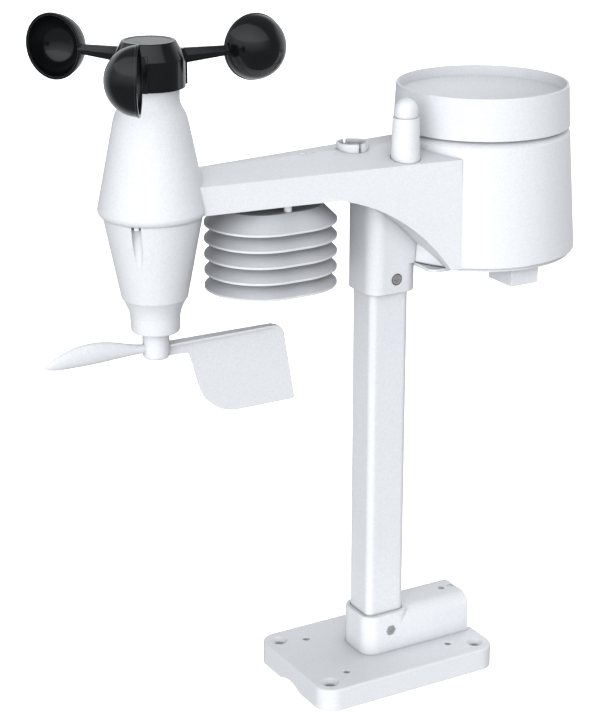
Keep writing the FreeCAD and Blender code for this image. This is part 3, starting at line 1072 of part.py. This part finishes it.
def make_level():
    at = ("level_x", "0")
    holder = cut(cylinder("level_r", (*at, "level_foot"), "level_top - level_foot"),
                 cylinder("level_r - level_wall", (*at, "vial_foot - 0.05"), "20"),
                 box(("level_x - level_slit", "level_x + level_slit"), ("-level_r - 1", "level_r + 1"),
                     ("vial_foot + 1.5", "level_top + 1")))
    piece(holder, "level_holder")
    piece(cylinder("vial_r", (*at, "vial_foot"), "vial_top - vial_foot"), "level_vial")


def post_places():
    return [("shield_x + post_x", "0"), ("shield_x - post_x", "0"), ("shield_x", "post_y"), ("shield_x", "-post_y")]


def make_shield():
    """Five louvre plates on four posts, with a screw up each post."""
    for index in range(5):
        rim = f"louvre_first - {index} * louvre_pitch"
        body = new_body(x="shield_x")
        band = new_sketch(body, "XY", offset=rim)
        rounded_rectangle(band, "louvre_half_x", "louvre_half_y", "louvre_corner")
        pad(body, band, "louvre_rim")
        slope = new_sketch(body, "XY", offset=f"{rim} + louvre_rim")
        rounded_rectangle(slope, "louvre_half_x", "louvre_half_y", "louvre_corner")
        pad(body, slope, "louvre_rise", taper="-louvre_angle")
        hollow = new_sketch(body, "XY", offset=rim)
        skin = "louvre_skin"
        rounded_rectangle(hollow, f"louvre_half_x - {skin}", f"louvre_half_y - {skin}", f"louvre_corner - {skin}")
        pocket(body, hollow, f"louvre_rim + louvre_rise - {skin}", backwards=True, taper="-louvre_angle")
        top = f"{rim} + louvre_rim + louvre_rise"
        vent = new_sketch(body, "XY", offset=top)
        if index:
            rounded_rectangle(vent, "vent_half_x", "vent_half_y", "3")
        else:
            rectangle(vent, ("-7.4", "7.4"), ("-1.2", "1.2"))
        pocket(body, vent, "5")
        for x, y in post_places():
            pocket(body, circle(new_sketch(body, "XY", offset=top), f"{x} - shield_x", y, "post_hole"), "5")
        piece(body, f"shield_louvre_{index + 1}")
    length = "arm_bottom - post_foot"
    piece(group(*[tube("post_r", "screw_r + 0.05", (x, y, "post_foot"), length) for x, y in post_places()]),
          "shield_posts")
    piece(group(*[pan_screw((x, y, "post_foot"), "arm_bottom - post_foot + 4") for x, y in post_places()]),
          "shield_screws")


def make_boards():
    half_x, half_y = "main_board_half_x", "main_board_half_y"
    board = box((f"main_board_x - {half_x}", f"main_board_x + {half_x}"), (f"-{half_y}", half_y),
                ("main_board_z", "main_board_z + board"))
    tab = box(("main_board_x", "antenna_x + 3"), ("antenna_y - 3", "antenna_y + 4"),
              ("main_board_z", "main_board_z + board"))
    chips = [box((f"main_board_x + ({x})", f"main_board_x + ({x}) + {size}"), (y, f"{y} + {size}"),
                 ("main_board_z + board", "main_board_z + board + 1.4"))
             for x, y, size in (("-12", "-10", "7"), ("2", "4", "5"), ("-8", "8", "4"))]
    notches = [cylinder("3.3", (x, y, "main_board_z - 1"), "board + 2") for x, y in cover_screw_places()[2:]]
    piece(cut(fuse(board, tab, *chips), *notches), "main_board")
    strip = box(("shield_x - 7", "shield_x + 7"), ("-0.8", "0.8"), ("louvre_first - 22", "arm_bottom + 6"))
    shoulder = box(("shield_x - 10", "shield_x + 10"), ("-0.8", "0.8"), ("arm_bottom + cover_skin", "arm_bottom + 6"))
    chip = box(("shield_x - 2", "shield_x + 2"), ("-2.4", "-0.8"), ("louvre_first - 19", "louvre_first - 15"))
    piece(fuse(strip, shoulder, chip), "temperature_sensor")


def cover_screw_places():
    return [("wind_x + 36", "12"), ("wind_x + 36", "-12"), ("wind_x + 88", "20"), ("wind_x + 88", "-20")]


def make_screws():
    piece(group(*[pan_screw((x, y, "arm_bottom"), "screw_length - 3") for x, y in cover_screw_places()]),
          "cover_screws")
    piece(group(*[pan_screw((x, y, "gauge_bottom"), "screw_length") for x, y in floor_screw_places()]),
          "floor_screws")


# ---- Building and export ------------------------------------------------------------------------

def check_and_write():
    """Refuse a failed or empty shape, then write one STEP file per sub-part."""
    document.recompute()
    for item in document.Objects:
        if "Invalid" in item.State or "Error" in item.State:
            raise RuntimeError(f"{item.Name} ({item.Label}) is {item.State}")
    os.makedirs("parts", exist_ok=True)
    for item in PIECES:
        if item.Shape.isNull() or not item.Shape.isValid() or not item.Shape.Solids:
            raise RuntimeError(f"{item.Label} has no valid solid")
        item.Shape.exportStep(f"parts/{item.Label}.step")
        bounds = item.Shape.BoundBox
        print(f"{item.Label:24s} {len(item.Shape.Solids):2d} solids {item.Shape.Volume / 1000:8.2f} cm3"
              f"  x {bounds.XMin:7.1f} {bounds.XMax:7.1f}  y {bounds.YMin:6.1f} {bounds.YMax:6.1f}"
              f"  z {bounds.ZMin:6.1f} {bounds.ZMax:6.1f}")


def main():
    fill_sheet()
    make_base_plate()
    make_pole()
    make_pole_locks()
    make_main_housing()
    make_lower_cover()
    make_gauge_floor()
    make_battery_door()
    make_batteries()
    make_rain_collector()
    make_tipping_bucket()
    make_bucket_works()
    make_controls()
    make_lower_wind_housing()
    make_rotor_works()
    make_rotor_hub()
    make_wind_cups()
    make_wind_vane()
    make_vane_works()
    make_antenna()
    make_level()
    make_shield()
    make_boards()
    make_screws()
    check_and_write()


main()
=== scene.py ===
import json
import math

import bpy
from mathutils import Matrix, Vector

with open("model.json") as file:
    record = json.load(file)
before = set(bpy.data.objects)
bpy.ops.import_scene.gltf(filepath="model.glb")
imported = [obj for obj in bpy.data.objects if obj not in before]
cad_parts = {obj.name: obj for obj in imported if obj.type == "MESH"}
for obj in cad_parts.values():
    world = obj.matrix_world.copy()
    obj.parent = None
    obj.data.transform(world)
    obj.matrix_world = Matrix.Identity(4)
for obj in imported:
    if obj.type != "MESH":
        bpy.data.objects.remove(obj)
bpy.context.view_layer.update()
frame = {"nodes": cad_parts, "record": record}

SCENE = bpy.context.scene
NODES = frame["nodes"]
SLOTS = {entry["node"]: entry["material_slot"] for entry in frame["record"]["subparts"]}
MM = 0.001


# ---- Node helpers -------------------------------------------------------------------------------

class Shader:
    """A small helper that adds and links nodes in one material."""

    def __init__(self, name):
        self.material = bpy.data.materials.new(name)
        self.material.use_nodes = True
        self.tree = self.material.node_tree
        self.bsdf = next(n for n in self.tree.nodes if n.type == "BSDF_PRINCIPLED")
        self.place = self.tree.nodes.new("ShaderNodeTexCoord").outputs["Object"]

    def add(self, kind, **settings):
        node = self.tree.nodes.new(kind)
        for key, value in settings.items():
            setattr(node, key, value)
        return node

    def plug(self, source, socket):
        """Put a number, a colour or another node's output into a socket."""
        if isinstance(source, bpy.types.NodeSocket):
            self.tree.links.new(source, socket)
        else:
            socket.default_value = source

    def stretch(self, scale):
        node = self.add("ShaderNodeVectorMath", operation="MULTIPLY")
        self.plug(self.place, node.inputs[0])
        node.inputs[1].default_value = scale
        return node.outputs[0]

    def noise(self, scale, detail=2.0, roughness=0.5, vector=None):
        node = self.add("ShaderNodeTexNoise")
        self.plug(vector or self.place, node.inputs["Vector"])
        node.inputs["Scale"].default_value = scale
        node.inputs["Detail"].default_value = detail
        node.inputs["Roughness"].default_value = roughness
        return node.outputs["Fac"]

    def cells(self, scale):
        """The distance to the nearest of many scattered points."""
        node = self.add("ShaderNodeTexVoronoi", feature="F1")
        self.plug(self.place, node.inputs["Vector"])
        node.inputs["Scale"].default_value = scale
        return node.outputs["Distance"]

    def math(self, operation, a, b):
        node = self.add("ShaderNodeMath", operation=operation)
        self.plug(a, node.inputs[0])
        self.plug(b, node.inputs[1])
        return node.outputs[0]

    def spread(self, value, low, high, to_low=0.0, to_high=1.0):
        """A value stretched from one range to another, and held at the ends."""
        node = self.add("ShaderNodeMapRange")
        self.plug(value, node.inputs["Value"])
        ends = (("From Min", low), ("From Max", high), ("To Min", to_low), ("To Max", to_high))
        for socket, number in ends:
            node.inputs[socket].default_value = number
        return node.outputs["Result"]

    def mix(self, factor, a, b):
        """Colour a, going over to colour b as the factor goes to 1."""
        node = self.add("ShaderNodeMix", data_type="RGBA", blend_type="MIX")
        self.plug(factor, node.inputs["Factor"])
        self.plug(a, node.inputs[6])
        self.plug(b, node.inputs[7])
        return node.outputs[2]

    def bump(self, height, distance, strength, normal=None):
        node = self.add("ShaderNodeBump")
        self.plug(height, node.inputs["Height"])
        node.inputs["Distance"].default_value = distance
        node.inputs["Strength"].default_value = strength
        if normal is not None:
            self.plug(normal, node.inputs["Normal"])
        return node.outputs["Normal"]

    def soft_edges(self, radius):
        """The normal with edges rounded over a radius, and a mask that is 1 on them."""
        bevel = self.add("ShaderNodeBevel", samples=4)
        bevel.inputs["Radius"].default_value = radius
        flat = self.add("ShaderNodeNewGeometry").outputs["Normal"]
        dot = self.add("ShaderNodeVectorMath", operation="DOT_PRODUCT")
        self.plug(bevel.outputs["Normal"], dot.inputs[0])
        self.plug(flat, dot.inputs[1])
        return bevel.outputs["Normal"], self.spread(dot.outputs["Value"], 0.985, 0.90)

    def corners(self, distance):
        """A mask that is 1 in the open and falls to 0 in creases."""
        node = self.add("ShaderNodeAmbientOcclusion", samples=4)
        node.inputs["Distance"].default_value = distance
        return node.outputs["AO"]

    def set(self, **values):
        """Plug values into the surface shader and return the finished material."""
        names = {"color": "Base Color", "roughness": "Roughness", "metallic": "Metallic", "normal": "Normal",
                 "ior": "IOR", "coat": "Coat Weight", "transmission": "Transmission Weight",
                 "specular": "Specular IOR Level", "emission": "Emission Color", "glow": "Emission Strength"}
        for key, value in values.items():
            self.plug(value, self.bsdf.inputs[names[key]])
        return self.material


def rgb(red, green, blue):
    return (red, green, blue, 1.0)


def scaled(tone, factor):
    return tuple(factor * v for v in tone[:3]) + (1.0,)


# ---- Materials ----------------------------------------------------------------------------------

# Each layer of painted crease shade: how far a wall is felt, the openness where it is full and where it ends,
# its strength.
CREASE_SHADE_LAYERS = ((9.0 * MM, 0.25, 0.88, 0.36), (1.6 * MM, 0.30, 0.85, 0.68))
DEEP_SHADE_LAYERS = ((34.0 * MM, 0.15, 0.80, 0.42),) + CREASE_SHADE_LAYERS
COARSE_GRAIN, FINE_GRAIN = rgb(0.50, 0.52, 0.56), rgb(0.52, 0.54, 0.58)
DUST_AND_SHADE_FILM, PAINTED_SHADE_TONE, WORN_EDGE_AND_HIGHLIGHT = rgb(0.27, 0.28, 0.30), rgb(0.16, 0.165, 0.175), rgb(0.95, 0.96, 0.97)
WHITE_ROUGHNESS = 0.46


def moulded_white(name, tone, deep, creases=CREASE_SHADE_LAYERS, dust=0.0):
    """Weathered white ABS: a fine spark-eroded grain, faint flow clouds, polished edges lightened partly by
    wear and partly by a painted highlight, and painted shade in creases.

    Where dust is more than 0, a grey film lies on the faces that slope upwards: partly dust, and partly
    painted shade that darkens those faces.
    """
    s = Shader(name)
    fine = s.noise(2600.0, 2.0, 0.6)
    coarse = s.noise(950.0, 3.0, 0.65)
    cloud = s.noise(24.0, 3.0, 0.55)
    specks = s.cells(1500.0)
    normal, edge = s.soft_edges(0.45 * MM)
    body = s.mix(s.spread(cloud, 0.3, 0.7), tone, deep)
    body = s.mix(s.spread(coarse, 0.38, 0.66, 0.0, 0.20), body, COARSE_GRAIN)
    body = s.mix(s.spread(fine, 0.35, 0.7, 0.0, 0.13), body, FINE_GRAIN)
    if dust > 0.0:
        face = s.add("ShaderNodeSeparateXYZ")
        s.plug(s.add("ShaderNodeNewGeometry").outputs["Normal"], face.inputs[0])
        upward, patches = s.spread(face.outputs["Z"], 0.30, 0.60), s.spread(cloud, 0.2, 0.8, 0.85, 1.0)
        film = s.math("MULTIPLY", upward, patches)
        # Grey film on upward faces: dust, and also painted shade on those faces.
        body = s.mix(s.math("MULTIPLY", film, dust), body, DUST_AND_SHADE_FILM)
    # Painted shade: the colour is darkened towards a dark grey where ambient occlusion finds creases, seams
    # and nearby walls.
    for reach, low, high, amount in creases:
        crease = s.math("SUBTRACT", 1.0, s.spread(s.corners(reach), low, high))
        body = s.mix(s.math("MULTIPLY", crease, amount), body, PAINTED_SHADE_TONE)
    # Edges lightened towards near-white: partly wear, partly a painted highlight.
    body = s.mix(s.math("MULTIPLY", edge, 0.45), body, WORN_EDGE_AND_HIGHLIGHT)
    height = s.math("ADD", s.math("MULTIPLY", fine, 0.6), s.math("MULTIPLY", specks, 0.4))
    worn = s.spread(fine, 0.3, 0.75, WHITE_ROUGHNESS - 0.05, WHITE_ROUGHNESS + 0.07)
    rough_map = s.math("SUBTRACT", worn, s.math("MULTIPLY", edge, 0.10))
    return s.set(color=body, roughness=rough_map, normal=s.bump(height, 0.06 * MM, 0.55, normal), ior=1.53)


def gloss_black(name, tone, rough):
    """Polished black ABS with hairline handling marks, a little dust, and edges lightened partly by wear and
    partly by a painted highlight.
    """
    s = Shader(name)
    hair = s.noise(900.0, 3.0, 0.6, s.stretch((1.0, 0.08, 1.0)))
    cross = s.noise(900.0, 3.0, 0.6, s.stretch((0.08, 1.0, 0.35)))
    ripple = s.noise(55.0, 2.0, 0.5)
    dust = s.spread(s.cells(1100.0), 0.05, 0.0)
    normal, edge = s.soft_edges(0.35 * MM)
    marks = s.math("MAXIMUM", s.spread(hair, 0.62, 0.74), s.spread(cross, 0.63, 0.74))
    body = s.mix(s.spread(ripple, 0.3, 0.7), tone, scaled(tone, 1.5))
    body = s.mix(s.math("MULTIPLY", dust, 0.25), body, rgb(0.20, 0.20, 0.20))
    # Edges lightened towards grey: partly wear, partly a painted highlight.
    body = s.mix(s.math("MULTIPLY", edge, 0.30), body, rgb(0.16, 0.17, 0.18))
    polish = s.spread(ripple, 0.2, 0.8, rough, rough + 0.05)
    rough_map = s.math("ADD", polish, s.math("MULTIPLY", marks, 0.10))
    return s.set(color=body, roughness=rough_map, normal=s.bump(ripple, 0.10 * MM, 0.25, normal), ior=1.54)


def plated_steel(name, tone, rough=0.30):
    """Zinc-plated steel with turning lines and dull spots."""
    s = Shader(name)
    lines = s.noise(700.0, 3.0, 0.7, s.stretch((1.0, 0.06, 1.0)))
    spots = s.noise(260.0, 3.0, 0.6)
    normal, edge = s.soft_edges(0.15 * MM)
    body = s.mix(s.spread(spots, 0.4, 0.7, 0.0, 0.6), tone, scaled(tone, 0.6))
    # Painted highlight: the edges are lightened towards a pale grey.
    body = s.mix(s.math("MULTIPLY", edge, 0.5), body, rgb(0.86, 0.86, 0.85))
    rough_map = s.spread(spots, 0.3, 0.75, rough - 0.08, rough + 0.18)
    return s.set(color=body, metallic=0.45, roughness=rough_map, normal=s.bump(lines, 0.05 * MM, 0.4, normal))


def circuit_board(name):
    """Green solder mask with copper tracks under it and tinned pads."""
    s = Shader(name)
    tracks = s.add("ShaderNodeTexBrick")
    s.plug(s.stretch((420.0, 420.0, 420.0)), tracks.inputs["Vector"])
    for socket, value in (("Scale", 1.0), ("Mortar Size", 0.09), ("Brick Width", 0.9), ("Row Height", 0.55)):
        tracks.inputs[socket].default_value = value
    pads = s.spread(s.cells(330.0), 0.20, 0.16)
    body = s.mix(tracks.outputs["Fac"], rgb(0.012, 0.085, 0.035), rgb(0.03, 0.17, 0.06))
    body = s.mix(pads, body, rgb(0.62, 0.60, 0.56))
    rough_map = s.spread(s.noise(300.0), 0.3, 0.7, 0.28, 0.42)
    return s.set(color=body, roughness=rough_map, metallic=s.math("MULTIPLY", pads, 0.8),
                 normal=s.bump(tracks.outputs["Fac"], 0.04 * MM, 0.5))


CELL_BAND_START, CELL_BAND_BLUR = 76.0 * MM, 0.4 * MM


def cell_wrap(name):
    """Shrink wrap on a cell: dark with a copper-coloured band at one end."""
    s = Shader(name)
    split = s.add("ShaderNodeSeparateXYZ")
    s.plug(s.place, split.inputs[0])
    crinkle = s.noise(420.0, 3.0, 0.6)
    band = s.spread(split.outputs["X"], CELL_BAND_START, CELL_BAND_START + CELL_BAND_BLUR)
    body = s.mix(band, rgb(0.018, 0.019, 0.022), rgb(0.50, 0.26, 0.10))
    rough_map = s.spread(crinkle, 0.3, 0.7, 0.18, 0.34)
    return s.set(color=body, roughness=rough_map, normal=s.bump(crinkle, 0.08 * MM, 0.4), coat=0.4)


def clear_plastic(name):
    """Clear acrylic, faintly green, with small bubbles and light scuffs."""
    s = Shader(name)
    scuff = s.noise(800.0, 3.0, 0.7)
    swirl = s.noise(120.0, 2.0, 0.5)
    body = s.mix(s.spread(swirl, 0.3, 0.7), rgb(0.80, 0.90, 0.84), rgb(0.88, 0.94, 0.91))
    return s.set(color=body, roughness=s.spread(scuff, 0.3, 0.75, 0.04, 0.14), transmission=0.75, ior=1.49,
                 normal=s.bump(scuff, 0.03 * MM, 0.2))


def dull_rubber(name):
    """Matte black sealing rubber."""
    s = Shader(name)
    grain = s.noise(1400.0, 3.0, 0.6)
    body = s.mix(s.spread(grain, 0.3, 0.7), rgb(0.025, 0.025, 0.026), rgb(0.055, 0.055, 0.056))
    return s.set(color=body, roughness=s.spread(grain, 0.3, 0.7, 0.65, 0.85),
                 normal=s.bump(grain, 0.08 * MM, 0.5))


# WHITE carries painted shade in its creases. SHADED_WHITE and SHIELD_WHITE are darker copies of it with wider
# painted shade, for the parts under the arm and for the shield; the shield's dust film also darkens its
# upward faces as painted shade.
WHITE = moulded_white("white_abs", rgb(0.81, 0.82, 0.84), rgb(0.79, 0.80, 0.825))
SHADED_WHITE = moulded_white("white_abs_painted_shade", rgb(0.79, 0.80, 0.82), rgb(0.77, 0.78, 0.805),
                             creases=DEEP_SHADE_LAYERS)
SHIELD_WHITE = moulded_white("white_abs_shield_painted_shade", rgb(0.77, 0.78, 0.80), rgb(0.74, 0.75, 0.775),
                             creases=DEEP_SHADE_LAYERS, dust=0.42)
MATERIALS = {
    "white_plastic": WHITE,
    "black_plastic": gloss_black("black_abs", rgb(0.0032, 0.0038, 0.0042), 0.09),
    "steel": plated_steel("zinc_plate", rgb(0.46, 0.46, 0.46)),
    "brass": plated_steel("bearing_brass", rgb(0.62, 0.44, 0.18), 0.34),
    "magnet": plated_steel("nickel_plate", rgb(0.44, 0.44, 0.46), 0.22),
    "circuit_board": circuit_board("solder_mask"),
    "battery_wrap": cell_wrap("cell_wrap"),
    "clear_plastic": clear_plastic("clear_acrylic"),
    "seal_rubber": dull_rubber("seal_rubber"),
}
# A rougher copy of the black plastic, about ten times lighter, for the hub's top disc: its lighter tone
# partly paints in the bright reflection on that disc.
HUB_TOP = gloss_black("black_abs_disc", rgb(0.035, 0.037, 0.040), 0.22)
# Parts given the darker copy of the white, with its painted shade.
SHADED_NODES = ("lower_cover", "gauge_floor", "lower_wind_housing", "rain_collector")

for name, node in NODES.items():
    finish = MATERIALS[SLOTS[name]]
    if name == "hub_cap":
        finish = HUB_TOP
    elif name.startswith("shield_louvre"):
        finish = SHIELD_WHITE
    elif name in SHADED_NODES:
        finish = SHADED_WHITE
    node.data.materials.clear()
    node.data.materials.append(finish)


# ---- Floor, light and camera --------------------------------------------------------------------

STAGE_HALF, FLOOR_LEVEL, WALL_RADIUS, WALL_TOP, ROOM_RADIUS = 9.0, -0.2 * MM, 8.5, 6.0, 8.0
PAPER_GLOW, CONTACT_SHADE, CONTACT_REACH = 1.0, 0.16, 55.0 * MM
# Mirrored room: the bank's lower edge, its middle and its side edge, then the glow of each part.
BANK_FOOT, BANK_MIDDLE, BANK_SIDE = 0.46, 55.0, 0.02
ROOM_GLOW, BANK_GLOW, SWEEP_GLOW, SPILL_GLOW = 0.20, 0.46, 0.72, 0.62
SWEEP_MIDDLE = 210.0
# Each lobe of the dome: the angle round, the height, the sharpness and the strength.
DOME_DIM = 0.04
DOME_LOBES = ((41.5, 7.5, 4.3, 4.12), (-107.3, 43.0, 3.0, 1.95))
CAMERA_PLACE, CAMERA_TURN, CAMERA_DIP, CAMERA_LENS = (-0.56645, -0.89977, 0.56584), 29.73, 19.33, 100.69


def stage_mesh(name, vertices, faces, finish, seen=True):
    """A piece of the studio that throws no light or shade on the object: seen, or only mirrored in it."""
    mesh = bpy.data.meshes.new(name)
    mesh.from_pydata(vertices, [], faces)
    mesh.materials.append(finish)
    thing = bpy.data.objects.new(name, mesh)
    SCENE.collection.objects.link(thing)
    thing.visible_diffuse = thing.visible_transmission = thing.visible_shadow = False
    thing.visible_camera, thing.visible_glossy = seen, not seen


def studio_paper(name):
    """White glowing paper, its glow dimmed by a painted contact shadow where something stands on it."""
    s = Shader(name)
    tone = s.mix(s.noise(3.0), rgb(0.90, 0.905, 0.91), rgb(0.92, 0.925, 0.93))
    # Painted contact shadow: ambient occlusion from the object lowers the paper's glow.
    shade = s.math("MULTIPLY", s.spread(s.corners(CONTACT_REACH), 1.0, 0.2), CONTACT_SHADE)
    return s.set(color=tone, roughness=0.9, emission=rgb(1.0, 1.0, 1.0),
                 glow=s.math("SUBTRACT", PAPER_GLOW, shade))


def ring_of(radius, levels, steps=48):
    """Vertices and faces of an upright tube of squares."""
    angles = [math.tau * i / steps for i in range(steps)]
    vertices = [(radius * math.cos(a), radius * math.sin(a), z) for z in levels for a in angles]
    faces = []
    for row in range(len(levels) - 1):
        low, high = row * steps, (row + 1) * steps
        faces += [(low + i, low + (i + 1) % steps, high + (i + 1) % steps, high + i) for i in range(steps)]
    return vertices, faces


def towards(around, height):
    """The direction at an angle round from -Y towards -X, and a height above level."""
    turn, rise = math.radians(around), math.radians(height)
    return Vector((-math.sin(turn) * math.cos(rise), -math.cos(turn) * math.cos(rise), math.sin(rise)))


def mirrored_room():
    """What polished parts mirror: a dim room, a bright bank ahead and above, and the white sweep behind."""
    s = Shader("mirrored_room")
    way = s.add("ShaderNodeVectorMath", operation="NORMALIZE")
    s.plug(s.place, way.inputs[0])

    def facing(direction):
        node = s.add("ShaderNodeVectorMath", operation="DOT_PRODUCT")
        s.plug(way.outputs[0], node.inputs[0])
        node.inputs[1].default_value = direction
        return node.outputs["Value"]

    height = facing((0.0, 0.0, 1.0))
    ahead = facing(towards(BANK_MIDDLE, 0.0))
    bank = s.math("MULTIPLY", s.spread(height, BANK_FOOT - 0.008, BANK_FOOT + 0.008),
                  s.spread(ahead, BANK_SIDE - 0.04, BANK_SIDE + 0.04))
    behind = facing(towards(SWEEP_MIDDLE, 0.0))
    sweep = s.math("MULTIPLY", s.spread(behind, 0.15, 0.60), s.spread(height, 0.62, 0.40))
    spill = s.math("MULTIPLY", s.spread(height, -0.14, BANK_FOOT), s.spread(ahead, -0.1, 0.7))
    glow = ROOM_GLOW
    for part, strength in ((bank, BANK_GLOW), (sweep, SWEEP_GLOW), (spill, SPILL_GLOW)):
        glow = s.math("ADD", glow, s.math("MULTIPLY", part, strength))
    return s.set(color=rgb(0.0, 0.0, 0.0), specular=0.0, emission=rgb(0.95, 0.98, 1.0), glow=glow)


def make_studio():
    """A white floor and a round white wall that the camera sees, and the room that polished parts mirror."""
    floor = [(STAGE_HALF * x, STAGE_HALF * y, FLOOR_LEVEL) for x, y in ((-1, -1), (1, -1), (1, 1), (-1, 1))]
    stage_mesh("studio_floor", floor, [(0, 1, 2, 3)], studio_paper("studio_paper"))
    stage_mesh("studio_wall", *ring_of(WALL_RADIUS, (-0.01, WALL_TOP)), studio_paper("studio_wall_paper"))
    levels = [ROOM_RADIUS * math.sin(math.radians(height)) for height in range(-88, 89, 8)]
    vertices, faces = ring_of(1.0, levels)
    for index, (x, y, z) in enumerate(vertices):
        reach = math.sqrt(ROOM_RADIUS ** 2 - z * z)
        vertices[index] = (x * reach, y * reach, z)
    stage_mesh("mirrored_room", vertices, faces, mirrored_room(), seen=False)


def make_light():
    """A dome of light with two soft lobes: one in front on the left, and one high at the back right."""
    world = bpy.data.worlds.new("studio")
    world.use_nodes = True
    nodes, links = world.node_tree.nodes, world.node_tree.links
    place = nodes.new("ShaderNodeTexCoord")

    def maths(operation, a, b):
        node = nodes.new("ShaderNodeMath")
        node.operation = operation
        for socket, value in zip(node.inputs, (a, b)):
            if isinstance(value, bpy.types.NodeSocket):
                links.new(value, socket)
            else:
                socket.default_value = value
        return node.outputs[0]

    total = DOME_DIM
    for around, height, sharpness, strength in DOME_LOBES:
        lobe = nodes.new("ShaderNodeVectorMath")
        lobe.operation = "DOT_PRODUCT"
        lobe.inputs[1].default_value = towards(around, height)
        links.new(place.outputs["Generated"], lobe.inputs[0])
        shape = maths("POWER", maths("MAXIMUM", lobe.outputs["Value"], 0.0), sharpness)
        total = maths("ADD", maths("MULTIPLY", shape, strength), total)
    background = nodes["Background"]
    background.inputs["Color"].default_value = rgb(0.972, 0.985, 1.0)
    links.new(total, background.inputs["Strength"])
    world.cycles_visibility.glossy = False
    SCENE.world = world


def make_camera():
    data = bpy.data.cameras.new("camera")
    data.lens, data.sensor_width, data.sensor_fit = CAMERA_LENS, 36.0, "AUTO"
    data.clip_start, data.clip_end = 0.05, 50.0
    camera = bpy.data.objects.new("camera", data)
    camera.location = CAMERA_PLACE
    turn, dip = math.radians(CAMERA_TURN), math.radians(CAMERA_DIP)
    ahead = Vector((math.sin(turn) * math.cos(dip), math.cos(turn) * math.cos(dip), -math.sin(dip)))
    camera.rotation_euler = ahead.to_track_quat("-Z", "Y").to_euler()
    SCENE.collection.objects.link(camera)
    SCENE.camera = camera


make_studio()
make_light()
make_camera()
SCENE.view_settings.view_transform = "Standard"
